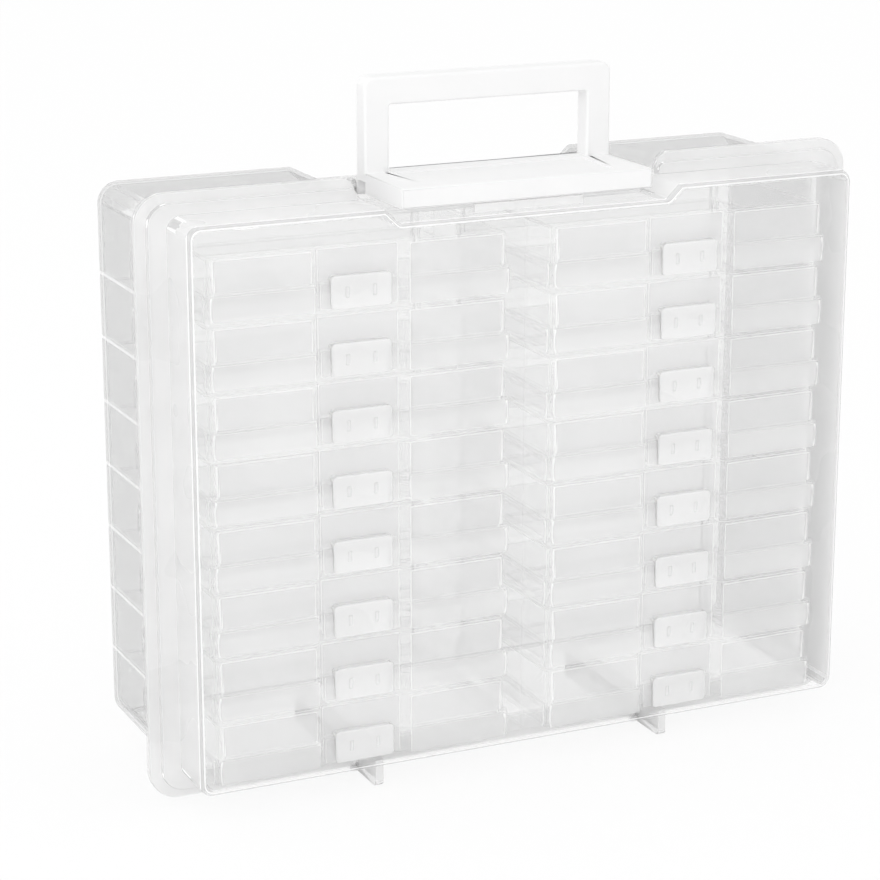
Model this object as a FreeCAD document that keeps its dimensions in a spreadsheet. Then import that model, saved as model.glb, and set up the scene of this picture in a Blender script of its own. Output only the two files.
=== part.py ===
import FreeCAD, Part
import os
import re

import Sketcher

# Clear plastic sorting case: a carrying shell with a drop-down door and a white handle that
# doubles as the door's latch. Sixteen small cases slide on ledges in two columns of eight.
#
# Frame of the drawings: X across, Y from the door's front face to the back, Z up from the
# lower edge of the door's front face. Every piece is then placed so that the part's origin
# is on the floor, under the middle of the carrying shell. All lengths are in millimetres.

SIZES = {
    # Carrying shell and door
    "depth": 126.4,
    "wall": 2.0,
    "clearance": 0.3,
    "overrun": 5.0,
    "face_width": 365.0,
    "face_height": 286.5,
    "face_corner": 7.0,
    "face_edge": 3.0,
    "door_depth": 32.0,
    "flange_side": 15.5,
    "flange_rise": 11.0,
    "flange_thickness": 2.4,
    "flange_corner": 15.5,
    "rim_side": 9.5,
    "rim_rise": 6.0,
    "rim_depth": 3.0,
    "rim_corner": 11.0,
    "flange_end": 8.0,
    "rim_end": 4.0,
    "parting_gap": 0.2,
    "shell_side": 3.4,
    "shell_rise": 1.0,
    "shell_corner": 11.0,
    "shell_edge": 2.5,
    # Dip in the top of shell and door, where the handle's plate lies
    "dip_side": 4.7,
    "dip_slope": 7.3,
    "dip_depth": 7.1,
    "dip_round": 3.0,
    # Racks that carry the small cases: a divider and two combs of ledges on the side walls
    "rows": 8,
    "row_base": 2.6,
    "row_headroom": 15.1,
    "row_gap": 2.4,
    "divider_front": 12.0,
    "divider_thickness": 2.0,
    "divider_headroom": 12.5,
    "rack_thickness": 1.2,
    "ledge_thickness": 1.6,
    "ledge_front": 40.0,
    "ledge_bearing": 6.0,
    # Bottom hinges, whose knuckles run on as feet
    "hinge_spacing": 165.0,
    "foot_height": 14.7,
    "foot_front": 10.0,
    "foot_inset": 14.0,
    "foot_round": 3.0,
    "knuckle_radius": 2.5,
    "fin_width": 4.5,
    "ear_width": 3.0,
    "hinge_relief": 1.2,
    "hinge_pin_radius": 1.25,
    "bore_clearance": 0.05,
    # Handle, its plate and the lip that hooks over the door
    "handle_width": 138.0,
    "handle_post": 13.6,
    "handle_bar": 14.2,
    "handle_depth": 11.3,
    "handle_rise": 48.0,
    "handle_corner": 5.0,
    "handle_edge": 1.5,
    "window_corner": 1.5,
    "plate_front": 9.3,
    "plate_depth": 56.6,
    "plate_rise": 7.5,
    "plate_thickness": 4.0,
    "lip_height": 10.0,
    "lip_thickness": 3.2,
    "lip_edge": 1.0,
    "dish_margin": 16.0,
    "dish_front": 8.0,
    "dish_depth": 1.2,
    "dish_corner": 6.0,
    "pivot_setback": 2.0,
    "pivot_drop": 8.0,
    "barrel_radius": 4.4,
    "lug_radius": 4.0,
    "lug_thickness": 3.4,
    "latch_pin_radius": 1.6,
    "ridge_width": 60.0,
    "ridge_thickness": 2.4,
    # Small cases
    "case_gap": 20.6,
    "case_side": 10.0,
    "case_setback": 4.0,
    "case_back": 4.4,
    "case_corner": 4.0,
    "base_height": 13.0,
    "base_wall": 1.6,
    "cover_wall": 1.4,
    "cover_skirt": 5.0,
    "cover_flange": 1.2,
    "cover_edge": 1.6,
    "bay_width": 50.0,
    "bay_slope": 4.5,
    "bay_depth": 4.5,
    # Clasp on the front of each small case
    "clasp_width": 32.0,
    "clasp_overlap": 4.0,
    "clasp_thickness": 2.4,
    "clasp_corner": 2.0,
    "clasp_root": 2.2,
    "slot_width": 1.8,
    "tongue_width": 13.0,
    "tongue_length": 7.0,
    "slot_base": 3.6,
    "nub_width": 9.0,
    "nub_depth": 1.0,
}

# Wall offset along a side, as a share of the wall, where two sides meet at 45 degrees
BEVEL_SHARE = "0.414"
# How far into a wall a rib is rooted, as a share of that wall
ROOT_SHARE = "0.25"

# Heights, depths and half widths that several pieces share, as formulas of the sizes above
HALF_FACE = "face_width / 2"
PARTING = "(door_depth + flange_thickness)"
SHELL_FRONT = "(door_depth + flange_thickness + parting_gap)"
SHELL_HALF = "(face_width / 2 + shell_side)"
SHELL_FLOOR = "(row_base - clearance - wall)"
SHELL_TOP = "(face_height + shell_rise)"
HINGE_Y = "(door_depth + flange_thickness + parting_gap / 2)"
HINGE_Z = "(knuckle_radius - foot_height)"
FIN_HALF = "fin_width / 2"
SLOT_HALF = "(fin_width / 2 + clearance)"
EARS_HALF = "(fin_width / 2 + clearance + ear_width)"
PLATE_TOP = "(face_height + plate_rise)"
LIP_BASE = "(face_height + plate_rise - lip_height)"
HANDLE_HALF = "handle_width / 2"
HANDLE_BACK = "(plate_front + plate_depth)"
PIVOT_Y = "(" + HANDLE_BACK + " + pivot_setback)"
PIVOT_Z = "(face_height + plate_rise - pivot_drop)"
DIP_HALF = "(handle_width / 2 + dip_side)"
DIP_END = "(" + DIP_HALF + " + dip_slope + dip_round)"
ROW_PITCH = "((face_height - row_base - row_headroom) / rows)"
CASE_WIDTH = "((face_width - case_gap) / 2 - case_side)"
CASE_DEPTH = "(depth - 2 * wall - case_setback - case_back)"
CASE_HEIGHT = "(" + ROW_PITCH + " - row_gap)"
LEDGE_TOP = "(row_base + " + ROW_PITCH + " - clearance)"
LEDGE_LOW = "(row_base + " + ROW_PITCH + " - clearance - ledge_thickness)"
COVER_INSET = "(base_wall + clearance)"

doc = FreeCAD.newDocument("SortingCase")
sheet = doc.addObject("Spreadsheet::Sheet", "Sizes")
for line, (alias, value) in enumerate(SIZES.items(), start=1):
    sheet.set(f"A{line}", alias)
    sheet.set(f"B{line}", str(value))
    sheet.setAlias(f"B{line}", alias)
doc.recompute()


def formula(text):
    """Point every size named in a formula at its cell."""
    return re.sub(r"[a-z_]+", lambda word: f"Sizes.{word[0]}" if word[0] in SIZES else word[0], text)


def bind(thing, member, text):
    """Tie a property of an object to a formula of the sizes."""
    thing.setExpression(member, formula(text))


def new_body(label):
    """Start an empty piece."""
    body = doc.addObject("PartDesign::Body", label)
    body.Label = label
    return body


def stand(thing, x="0", y="-depth / 2", z="foot_height"):
    """Place a piece in the part's frame; the carrying shell's own place is the default."""
    bind(thing, "Placement.Base.x", x)
    bind(thing, "Placement.Base.y", y)
    bind(thing, "Placement.Base.z", z)


def origin_feature(body, role):
    """One of the body's own origin planes or axes."""
    return next(item for item in body.Origin.OriginFeatures if item.Role == role)


def new_sketch(body, name, plane, at):
    """Empty sketch across X, Y or Z, at the given place along that axis."""
    role, sign = {"X": ("YZ_Plane", ""), "Y": ("XZ_Plane", "-1 * "), "Z": ("XY_Plane", "")}[plane]
    sketch = body.newObject("Sketcher::SketchObject", name)
    sketch.AttachmentSupport = [(origin_feature(body, role), "")]
    sketch.MapMode = "FlatFace"
    bind(sketch, "AttachmentOffset.Base.z", f"{sign}({at})")
    return sketch


def draw_polygon(sketch, points):
    """Closed straight-sided outline whose corners are formulas; it starts as a unit shape."""
    unit = Part.makeCircle(1).discretize(Number=len(points) + 1)[:-1]
    first = sketch.GeometryCount
    count = len(points)
    for index in range(count):
        sketch.addGeometry(Part.LineSegment(unit[index], unit[(index + 1) % count]))
    for index in range(count):
        after = first + (index + 1) % count
        sketch.addConstraint(Sketcher.Constraint("Coincident", first + index, 2, after, 1))
    for index, corner in enumerate(points):
        for kind, start, text in zip(("DistanceX", "DistanceY"), unit[index], corner):
            name = f"{kind}{first + index}"
            place = sketch.addConstraint(Sketcher.Constraint(kind, -1, 1, first + index, 1, start))
            sketch.renameConstraint(place, name)
            bind(sketch, f"Constraints.{name}", text)


def draw_circle(sketch, centre, radius):
    """Circle whose centre and radius are formulas; it starts as a unit circle."""
    start = FreeCAD.Vector(1, 1, 0)
    index = sketch.addGeometry(Part.Circle(start, FreeCAD.Vector(0, 0, 1), 1))
    for kind, text in zip(("DistanceX", "DistanceY"), centre):
        place = sketch.addConstraint(Sketcher.Constraint(kind, -1, 1, index, 3, 1))
        sketch.renameConstraint(place, kind)
        bind(sketch, f"Constraints.{kind}", text)
    place = sketch.addConstraint(Sketcher.Constraint("Radius", index, 1))
    sketch.renameConstraint(place, "Radius")
    bind(sketch, "Constraints.Radius", radius)


def extrude(body, kind, sketch, length, backwards=False):
    """Pad or pocket of one sketch."""
    feature = body.newObject(f"PartDesign::{kind}", f"{sketch.Name}{kind}")
    feature.Profile = sketch
    bind(feature, "Length", length)
    feature.Reversed = backwards
    doc.recompute()
    return feature


def block(body, name, plane, at, length, *outlines):
    """Solid over straight-sided outlines, from its place forwards along the axis."""
    sketch = new_sketch(body, name, plane, at)
    for points in outlines:
        draw_polygon(sketch, points)
    return extrude(body, "Pad", sketch, length, backwards=plane == "Y")


def cut(body, name, plane, at, length, *outlines):
    """Cut over straight-sided outlines, from its place forwards along the axis."""
    sketch = new_sketch(body, name, plane, at)
    for points in outlines:
        draw_polygon(sketch, points)
    return extrude(body, "Pocket", sketch, length, backwards=plane != "Y")


def rod(body, name, kind, at, length, centre, radius):
    """Round pad or pocket along X."""
    sketch = new_sketch(body, name, "X", at)
    draw_circle(sketch, centre, radius)
    return extrude(body, kind, sketch, length, backwards=kind == "Pocket")


def edges_where(shape, test):
    """Names of the edges whose end points and middle pass a test."""
    names = []
    for number, edge in enumerate(shape.Edges, start=1):
        middle = edge.valueAt((edge.FirstParameter + edge.LastParameter) / 2)
        span = edge.Vertexes[-1].Point - edge.Vertexes[0].Point
        if test(middle, span):
            names.append(f"Edge{number}")
    return names


def round_edges(body, name, radius, test):
    """Fillet the edges of the piece so far that pass a test."""
    base = body.Tip
    feature = body.newObject("PartDesign::Fillet", name)
    feature.Base = (base, edges_where(base.Shape, test))
    bind(feature, "Radius", radius)
    doc.recompute()
    return feature


def runs_along(axis):
    """Test for edges that run mainly along one axis."""
    others = [name for name in "xyz" if name != axis]

    def test(middle, span):
        across = max(abs(getattr(span, name)) for name in others)
        return abs(getattr(span, axis)) > 2 * across

    return test


def dipped(half, low, high, dip_low, side="0"):
    """Upright rectangle with the sloped dip in its top edge."""
    floor = f"{DIP_HALF} + {side}"
    brim = f"{DIP_HALF} + dip_slope + {side}"
    return [
        (f"-({half})", low), (half, low), (half, high), (brim, high),
        (floor, dip_low), (f"-({floor})", dip_low), (f"-({brim})", high), (f"-({half})", high),
    ]


def notched(half, low, high, end):
    """Upright rectangle with a square notch in its top edge, wider and deeper than the dip."""
    floor = "face_height - dip_depth - wall"
    return [
        (f"-({half})", low), (half, low), (half, high), (end, high),
        (end, floor), (f"-({end})", floor), (f"-({end})", high), (f"-({half})", high),
    ]


def rectangle(left, low, right, high):
    """Four corners of an upright rectangle."""
    return [(left, low), (right, low), (right, high), (left, high)]


def round_long(body, name, radius, half):
    """Round the edges along Y that lie at one half width, such as the corners of a cavity."""
    slack = sheet.clearance / 10
    along = runs_along("y")

    def test(middle, span):
        return along(middle, span) and abs(abs(middle.x) - half) < slack

    return round_edges(body, name, radius, test)


def round_dip(body, name):
    """Round the four long edges of the dip's outside."""
    floor = sheet.handle_width / 2 + sheet.dip_side
    slack = sheet.clearance / 10
    along = runs_along("y")

    def test(middle, span):
        place = abs(middle.x) - floor
        return along(middle, span) and (abs(place) < slack or abs(place - sheet.dip_slope) < slack)

    return round_edges(body, name, "dip_round", test)


def in_plane(y):
    """Test for edges that lie in one upright plane across Y."""
    slack = sheet.clearance / 10

    def test(middle, span):
        return abs(middle.y - y) < slack and abs(span.y) < slack

    return test


def add_plate(body, kind, at, thickness):
    """Flange or rim round the mouth of the shell or door, which stops on both sides of the dip."""
    outline = notched(
        f"{HALF_FACE} + {kind}_side", f"-1 * {kind}_rise", f"face_height + {kind}_rise", DIP_END,
    )
    block(body, kind.title(), "Y", at, thickness, outline)
    top = sheet.face_height + sheet.get(f"{kind}_rise")
    reach = sheet.handle_width / 2 + sheet.dip_side + sheet.dip_slope + sheet.dip_round
    slack = sheet.clearance / 10
    round_edges(
        body, f"{kind.title()}Ends", f"{kind}_end",
        lambda middle, span: abs(middle.z - top) < slack and abs(abs(middle.x) - reach) < slack,
    )


def make_shell():
    """Carrying shell: open tray with a flange, foot rails and handle lugs."""
    body = new_body("back_shell")
    dip_floor = f"{SHELL_TOP} - dip_depth"
    outer = dipped(SHELL_HALF, SHELL_FLOOR, SHELL_TOP, dip_floor)
    block(body, "ShellOuter", "Y", SHELL_FRONT, f"depth - {SHELL_FRONT}", outer)
    add_plate(body, "flange", SHELL_FRONT, "flange_thickness")
    inner = dipped(
        f"{SHELL_HALF} - wall", f"{SHELL_FLOOR} + wall", f"{SHELL_TOP} - wall", f"{dip_floor} - wall",
        f"{BEVEL_SHARE} * wall",
    )
    cut(body, "ShellInner", "Y", f"{SHELL_FRONT} - overrun", f"depth - wall - {SHELL_FRONT} + overrun", inner)
    half = sheet.face_width / 2 + sheet.shell_side
    round_long(body, "ShellInnerCorners", "shell_corner - wall", half - sheet.wall)
    round_long(body, "ShellCorners", "shell_corner", half)
    round_long(body, "ShellFlangeCorners", "flange_corner", sheet.face_width / 2 + sheet.flange_side)
    round_dip(body, "ShellDipRounds")
    round_edges(body, "ShellBackEdge", "shell_edge", in_plane(sheet.depth))
    for side in (-1, 1):
        add_foot_rail(body, side)
        add_handle_lug(body, side)
    stand(body)
    return body


def add_levels(body, name, outline):
    """Ledges over one outline, a level under each row but the lowest."""
    level = block(body, name, "Y", "ledge_front", "depth - wall - ledge_front", outline)
    levels = body.newObject("PartDesign::LinearPattern", f"{name}Levels")
    levels.Originals = [level]
    levels.Direction = (origin_feature(body, "Z_Axis"), [""])
    bind(levels, "Length", f"{ROW_PITCH} * (rows - 2)")
    bind(levels, "Occurrences", "rows - 1")
    body.Tip = levels
    doc.recompute()


def make_side_rack(side):
    """Comb of ledges against one side wall of the shell, for the outer ends of the small cases."""
    name = "left" if side < 0 else "right"
    body = new_body(f"{name}_rack")
    wall_face = f"{side} * ({SHELL_HALF} - wall)"
    plate_face = f"{side} * ({SHELL_HALF} - wall - rack_thickness)"
    tip = f"{side} * (case_gap / 2 + {CASE_WIDTH} - ledge_bearing)"
    block(
        body, f"{name.title()}RackPlate", "Y", "ledge_front", "depth - wall - ledge_front",
        rectangle(wall_face, f"{SHELL_FLOOR} + shell_corner", plate_face, f"{SHELL_TOP} - shell_corner"),
    )
    add_levels(body, f"{name.title()}Ledge", rectangle(wall_face, LEDGE_LOW, tip, LEDGE_TOP))
    stand(body)
    return body


def make_divider_rack():
    """Upright wall between the two columns, with ledges on both sides; its front stands inside the door."""
    body = new_body("divider_rack")
    floor = f"{SHELL_FLOOR} + wall"
    step = f"{SHELL_FRONT} + flange_thickness"
    top = "face_height - divider_headroom"
    block(
        body, "Divider", "X", "-1 * divider_thickness / 2", "divider_thickness",
        [
            ("divider_front", "row_base"), (step, "row_base"), (step, floor),
            ("depth - wall", floor), ("depth - wall", top), ("divider_front", top),
        ],
    )
    tip = "(case_gap / 2 + ledge_bearing)"
    add_levels(body, "DividerLedge", rectangle(f"-1 * {tip}", LEDGE_LOW, tip, LEDGE_TOP))
    stand(body)
    return body


def add_foot_rail(body, side):
    """Rear foot on the shell's underside that forks in front into the two ears of a hinge."""
    name = "Left" if side < 0 else "Right"
    middle = f"{side} * hinge_spacing / 2"
    root = f"{SHELL_FLOOR} + wall * {ROOT_SHARE}"
    ear_top = f"{HINGE_Z} + knuckle_radius"
    outer = f"{middle} - {EARS_HALF}"
    block(
        body, f"{name}Rail", "X", outer, f"2 * {EARS_HALF}",
        [
            (HINGE_Y, "-1 * foot_height"), ("depth - foot_inset", "-1 * foot_height"),
            ("depth - foot_inset", root), (SHELL_FRONT, root), (SHELL_FRONT, ear_top), (HINGE_Y, ear_top),
        ],
    )
    rod(body, f"{name}Ear", "Pad", outer, f"2 * {EARS_HALF}", (HINGE_Y, HINGE_Z), "knuckle_radius")
    rod(
        body, f"{name}EarBore", "Pocket", outer, f"2 * {EARS_HALF}",
        (HINGE_Y, HINGE_Z), "hinge_pin_radius + bore_clearance",
    )
    swing = f"2 * {HINGE_Y} - foot_front + hinge_relief"
    cut(
        body, f"{name}Fork", "X", f"{middle} - {SLOT_HALF}", f"2 * {SLOT_HALF}",
        rectangle(
            f"{HINGE_Y} - 2 * knuckle_radius", "-1 * foot_height - overrun", swing, f"{ear_top} + clearance",
        ),
    )


def add_handle_lug(body, side):
    """Upright lug on the floor of the dip that carries one end of the handle's pin."""
    name = "LeftLug" if side < 0 else "RightLug"
    inner = f"{HANDLE_HALF} + clearance"
    start = inner if side > 0 else f"-({inner} + lug_thickness)"
    low = f"{SHELL_TOP} - dip_depth - wall * {ROOT_SHARE}"
    block(
        body, name, "X", start, "lug_thickness",
        rectangle(f"{PIVOT_Y} - lug_radius", low, f"{PIVOT_Y} + lug_radius", PIVOT_Z),
    )
    rod(body, f"{name}Eye", "Pad", start, "lug_thickness", (PIVOT_Y, PIVOT_Z), "lug_radius")
    rod(
        body, f"{name}Bore", "Pocket", start, "lug_thickness",
        (PIVOT_Y, PIVOT_Z), "latch_pin_radius + bore_clearance",
    )


def make_door():
    """Drop-down door: tray with a stepped rim, hinge fins below and a catch ridge on top."""
    body = new_body("front_door")
    dip_floor = "face_height - dip_depth"
    outer = dipped(HALF_FACE, "0", "face_height", dip_floor)
    block(body, "DoorOuter", "Y", "0", "door_depth", outer)
    add_plate(body, "rim", "door_depth - rim_depth", "rim_depth")
    add_plate(body, "flange", "door_depth", "flange_thickness")
    inner = dipped(
        f"{HALF_FACE} - wall", "wall", "face_height - wall", f"{dip_floor} - wall", f"{BEVEL_SHARE} * wall",
    )
    cut(body, "DoorInner", "Y", "wall", f"{PARTING} - wall + overrun", inner)
    half = sheet.face_width / 2
    round_long(body, "DoorInnerCorners", "face_corner - wall", half - sheet.wall)
    channel = notched(
        f"{HALF_FACE} + rim_side - wall", "wall - rim_rise", "face_height + rim_rise - wall",
        f"{DIP_END} + wall",
    )
    cut(
        body, "DoorChannel", "Y", "door_depth - rim_depth + wall",
        "rim_depth - wall + flange_thickness + overrun", channel,
    )
    round_long(body, "DoorChannelCorners", "rim_corner - wall", half + sheet.rim_side - sheet.wall)
    round_long(body, "DoorCorners", "face_corner", half)
    round_long(body, "DoorRimCorners", "rim_corner", half + sheet.rim_side)
    round_long(body, "DoorFlangeCorners", "flange_corner", half + sheet.flange_side)
    round_dip(body, "DoorDipRounds")
    round_edges(body, "DoorFaceEdge", "face_edge", in_plane(0))
    block(
        body, "CatchRidge", "Y", "plate_front", "ridge_thickness",
        rectangle(
            "-1 * ridge_width / 2", f"face_height - dip_depth - wall * {ROOT_SHARE}",
            "ridge_width / 2", f"{LIP_BASE} - clearance",
        ),
    )
    for side in (-1, 1):
        add_hinge_fin(body, side)
    stand(body)
    return body


def add_hinge_fin(body, side):
    """Foot fin under the door whose back end is the middle knuckle of a hinge."""
    name = "Left" if side < 0 else "Right"
    middle = f"{side} * hinge_spacing / 2"
    relief = f"{HINGE_Z} + knuckle_radius + hinge_relief"
    cut(
        body, f"{name}FlangeRelief", "Y", "door_depth - rim_depth - overrun",
        "rim_depth + flange_thickness + 2 * overrun",
        rectangle(
            f"{middle} - {EARS_HALF} - clearance", "-1 * flange_rise - overrun",
            f"{middle} + {EARS_HALF} + clearance", relief,
        ),
    )
    start = f"{middle} - {FIN_HALF}"
    root = f"wall * {ROOT_SHARE}"
    block(
        body, f"{name}Fin", "X", start, "fin_width",
        [
            ("foot_front", root), ("foot_front", "-1 * foot_height"), (HINGE_Y, "-1 * foot_height"),
            (HINGE_Y, f"{HINGE_Z} + knuckle_radius"), ("door_depth", f"{HINGE_Z} + knuckle_radius"),
            ("door_depth", root),
        ],
    )
    slack = sheet.clearance / 10
    round_edges(
        body, f"{name}FinRound", "foot_round",
        lambda middle, span: abs(middle.y - sheet.foot_front) < slack
        and abs(middle.z + sheet.foot_height) < slack,
    )
    rod(body, f"{name}Knuckle", "Pad", start, "fin_width", (HINGE_Y, HINGE_Z), "knuckle_radius")
    rod(
        body, f"{name}FinBore", "Pocket", start, "fin_width",
        (HINGE_Y, HINGE_Z), "hinge_pin_radius + bore_clearance",
    )


def make_handle():
    """White handle: an upright frame on a skirted plate whose front lip hooks over the door."""
    body = new_body("handle_latch")
    plate_low = f"{PLATE_TOP} - plate_thickness"
    block(
        body, "Plate", "X", f"-({HANDLE_HALF})", "handle_width",
        [
            ("plate_front", LIP_BASE), ("plate_front + lip_thickness", LIP_BASE),
            ("plate_front + lip_thickness", plate_low), (HANDLE_BACK, plate_low),
            (HANDLE_BACK, PLATE_TOP), ("plate_front", PLATE_TOP),
        ],
    )
    skirt = rectangle("plate_front", LIP_BASE, f"{HANDLE_BACK} - handle_depth", plate_low)
    block(body, "LeftSkirt", "X", f"-({HANDLE_HALF})", "lip_thickness", skirt)
    block(body, "RightSkirt", "X", f"{HANDLE_HALF} - lip_thickness", "lip_thickness", skirt)
    block(
        body, "Frame", "Y", f"{HANDLE_BACK} - handle_depth", "handle_depth",
        rectangle(f"-({HANDLE_HALF})", plate_low, HANDLE_HALF, f"{PLATE_TOP} + handle_rise"),
    )
    cut(
        body, "Window", "Y", f"{HANDLE_BACK} - handle_depth - overrun", "handle_depth + 2 * overrun",
        rectangle(
            f"handle_post - {HANDLE_HALF}", PLATE_TOP,
            f"{HANDLE_HALF} - handle_post", f"{PLATE_TOP} + handle_rise - handle_bar",
        ),
    )
    top = sheet.face_height + sheet.plate_rise
    back = sheet.plate_front + sheet.plate_depth
    front = back - sheet.handle_depth
    inner = sheet.handle_width / 2 - sheet.handle_post / 2
    slack = sheet.clearance / 10
    along = runs_along("y")
    round_edges(
        body, "HandleCorners", "handle_corner",
        lambda middle, span: along(middle, span) and abs(middle.x) > inner and middle.z > top + slack,
    )
    round_edges(
        body, "WindowCorners", "window_corner",
        lambda middle, span: along(middle, span) and abs(middle.x) < inner and middle.z > top + slack,
    )
    at_front = in_plane(front)
    at_back = in_plane(back)
    round_edges(
        body, "HandleEdges", "handle_edge",
        lambda middle, span: middle.z > top + slack and (at_front(middle, span) or at_back(middle, span)),
    )
    cut(
        body, "Dish", "Z", f"{PLATE_TOP} - dish_depth", "dish_depth + overrun",
        rectangle(
            f"dish_margin - {HANDLE_HALF}", "plate_front + dish_front",
            f"{HANDLE_HALF} - dish_margin", f"{HANDLE_BACK} - handle_depth",
        ),
    )
    upright = runs_along("z")
    round_edges(
        body, "DishCorners", "dish_corner",
        lambda middle, span: upright(middle, span) and slack < top - middle.z < sheet.dish_depth
        and middle.y < front - slack and abs(middle.x) < inner,
    )
    round_edges(body, "LipEdges", "lip_edge", in_plane(sheet.plate_front))
    block(
        body, "BarrelWeb", "X", f"-({HANDLE_HALF})", "handle_width",
        rectangle(f"{PIVOT_Y} - barrel_radius", PIVOT_Z, HANDLE_BACK, f"{PLATE_TOP} - plate_thickness / 2"),
    )
    rod(body, "Barrel", "Pad", f"-({HANDLE_HALF})", "handle_width", (PIVOT_Y, PIVOT_Z), "barrel_radius")
    rod(
        body, "BarrelBore", "Pocket", f"-({HANDLE_HALF})", "handle_width",
        (PIVOT_Y, PIVOT_Z), "latch_pin_radius + bore_clearance",
    )
    stand(body)
    return body


def make_pin(label, radius, length, x, y, z):
    """Plain round pin along X."""
    pin = doc.addObject("Part::Cylinder", label)
    pin.Label = label
    bind(pin, "Radius", radius)
    bind(pin, "Height", length)
    pin.Placement = FreeCAD.Placement(FreeCAD.Vector(), FreeCAD.Rotation(FreeCAD.Vector(0, 1, 0), 90))
    stand(pin, f"{x} - ({length}) / 2", f"{y} - depth / 2", f"{z} + foot_height")
    return pin


def bayed(inset):
    """Plan of a small case, inset from its outer sides, with the sloped bay in its front."""
    half = f"{CASE_WIDTH} / 2 - {inset}"
    mouth = f"bay_width / 2 + {BEVEL_SHARE} * ({inset})"
    throat = f"bay_width / 2 - bay_slope + {BEVEL_SHARE} * ({inset})"
    floor = f"bay_depth + {inset}"
    back = f"{CASE_DEPTH} - {inset}"
    return [
        (f"-({half})", inset), (f"-({mouth})", inset), (f"-({throat})", floor), (throat, floor),
        (mouth, inset), (half, inset), (half, back), (f"-({half})", back),
    ]


def round_upright(body, name, radius, *insets):
    """Round the four upright edges of a small case's piece that lie at one inset from its sides."""
    edge = (sheet.face_width - sheet.case_gap) / 4 - sheet.case_side / 2 - sum(insets)
    slack = sheet.clearance / 10
    along = runs_along("z")
    round_edges(
        body, name, radius,
        lambda middle, span: along(middle, span) and abs(abs(middle.x) - edge) < slack,
    )


def make_case_base():
    """Shallow tray of a small case, with the nub that its clasp snaps over."""
    body = new_body("case_base_pattern")
    block(body, "BaseOuter", "Z", "0", "base_height", bayed("0"))
    cut(body, "BaseInner", "Z", "base_wall", "base_height + overrun", bayed("base_wall"))
    round_upright(body, "BaseInnerCorners", "case_corner - base_wall", sheet.base_wall)
    round_upright(body, "BaseCorners", "case_corner")
    block(
        body, "Nub", "Y", "bay_depth - nub_depth", f"nub_depth + base_wall * {ROOT_SHARE}",
        rectangle(
            "-1 * nub_width / 2", "slot_base + clearance",
            "nub_width / 2", "slot_base + slot_width - clearance",
        ),
    )
    return body


def make_case_cover():
    """Deep cover of a small case: its skirt sits inside the tray and its flange on the rim."""
    body = new_body("case_cover_pattern")
    skirt = "(base_height - cover_skirt)"
    inset = sheet.base_wall + sheet.clearance
    block(body, "CoverOuter", "Z", skirt, f"{CASE_HEIGHT} - {skirt}", bayed(COVER_INSET))
    block(body, "CoverFlange", "Z", "base_height", "cover_flange", bayed("clearance"))
    cut(
        body, "CoverInner", "Z", f"{skirt} - overrun", f"{CASE_HEIGHT} - cover_wall - {skirt} + overrun",
        bayed(f"({COVER_INSET} + cover_wall)"),
    )
    round_upright(body, "CoverInnerCorners", "case_corner - cover_wall", inset, sheet.cover_wall)
    round_upright(body, "CoverCorners", "case_corner", inset)
    round_upright(body, "CoverFlangeCorners", "case_corner", sheet.clearance)
    top = body.Tip.Shape.BoundBox.ZMax
    slack = sheet.clearance / 10
    round_edges(
        body, "CoverTopEdge", "cover_edge",
        lambda middle, span: abs(middle.z - top) < slack and abs(span.z) < slack,
    )
    return body


def make_case_clasp():
    """Clasp in the bay of a small case: a flap with a sprung tongue, hung from the cover by a barrel."""
    body = new_body("case_clasp_pattern")
    back = "bay_depth - clearance"
    front = f"{back} - clasp_thickness"
    top = "base_height + clasp_overlap"
    half = "clasp_width / 2"
    block(
        body, "Flap", "Y", front, "clasp_thickness",
        rectangle(f"-({half})", "clearance", half, top),
    )
    round_edges(body, "FlapCorners", "clasp_corner", runs_along("y"))
    slot_low = "slot_base"
    slot_floor = "slot_base + slot_width"
    slot_top = "slot_base + slot_width + tongue_length"
    tongue = "tongue_width / 2"
    side = "tongue_width / 2 + slot_width"
    cut(
        body, "TongueSlot", "Y", f"{front} - overrun", "clasp_thickness + 2 * overrun",
        [
            (f"-({side})", slot_low), (side, slot_low), (side, slot_top), (tongue, slot_top),
            (tongue, slot_floor), (f"-({tongue})", slot_floor),
            (f"-({tongue})", slot_top), (f"-({side})", slot_top),
        ],
    )
    barrel_start = f"-({half}) + clasp_corner"
    barrel_length = "clasp_width - 2 * clasp_corner"
    barrel_y = f"(bay_depth + {COVER_INSET} - clearance - clasp_root / 2)"
    block(
        body, "Root", "X", barrel_start, barrel_length,
        rectangle(f"{back} - clasp_thickness / 2", f"{top} - clasp_root", barrel_y, top),
    )
    rod(
        body, "ClaspBarrel", "Pad", barrel_start, barrel_length,
        (barrel_y, f"{top} - clasp_root / 2"), "clasp_root / 2",
    )
    return body


def copy_of(pattern, label, x, y, z):
    """A piece of its own with the pattern's shape, at its own place."""
    body = new_body(label)
    body.BaseFeature = pattern
    stand(body, x, y, z)
    return body


def make_small_cases():
    """All small cases, row 1 at the bottom."""
    patterns = {"base": make_case_base(), "cover": make_case_cover(), "clasp": make_case_clasp()}
    pieces = []
    for column, side in (("left", -1), ("right", 1)):
        for row in range(int(sheet.rows)):
            x = f"{side} * (case_gap + {CASE_WIDTH}) / 2"
            y = "wall + case_setback - depth / 2"
            z = f"row_base + {row} * {ROW_PITCH} + foot_height"
            for piece, pattern in patterns.items():
                pieces.append(copy_of(pattern, f"{column}_case_{row + 1}_{piece}", x, y, z))
    return pieces


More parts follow.
